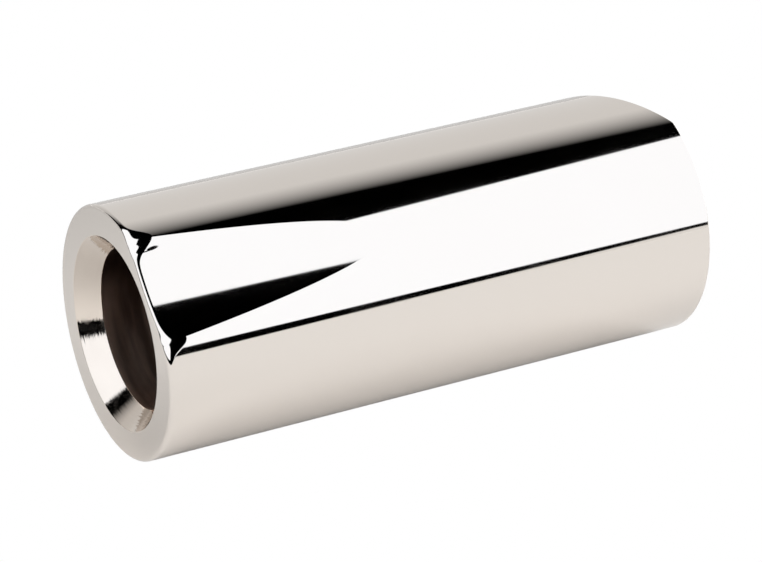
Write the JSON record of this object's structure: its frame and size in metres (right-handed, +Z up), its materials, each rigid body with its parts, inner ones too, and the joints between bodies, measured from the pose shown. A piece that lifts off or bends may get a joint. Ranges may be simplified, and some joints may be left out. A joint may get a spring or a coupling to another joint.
{
  "type": "guitar slide",
  "caption": "Heavy-walled metal tube worn on a finger to slide along guitar strings, with a countersunk mouth, a ground side scoop and a slanted far end.",
  "frame": {"origin": "on the surface that the slide lies on, under the middle of its length", "axes": "+X runs along the tube from the countersunk mouth to the slanted end, +Z is up as the slide lies, and the side scoop faces up between -Y and +Z"},
  "size_m": [0.0636, 0.027, 0.027],
  "materials": {
    "nickel_plate": "polished"
  },
  "bodies": {
    "root": {"slide_body": "nickel_plate"}
  },
  "joints": []
}
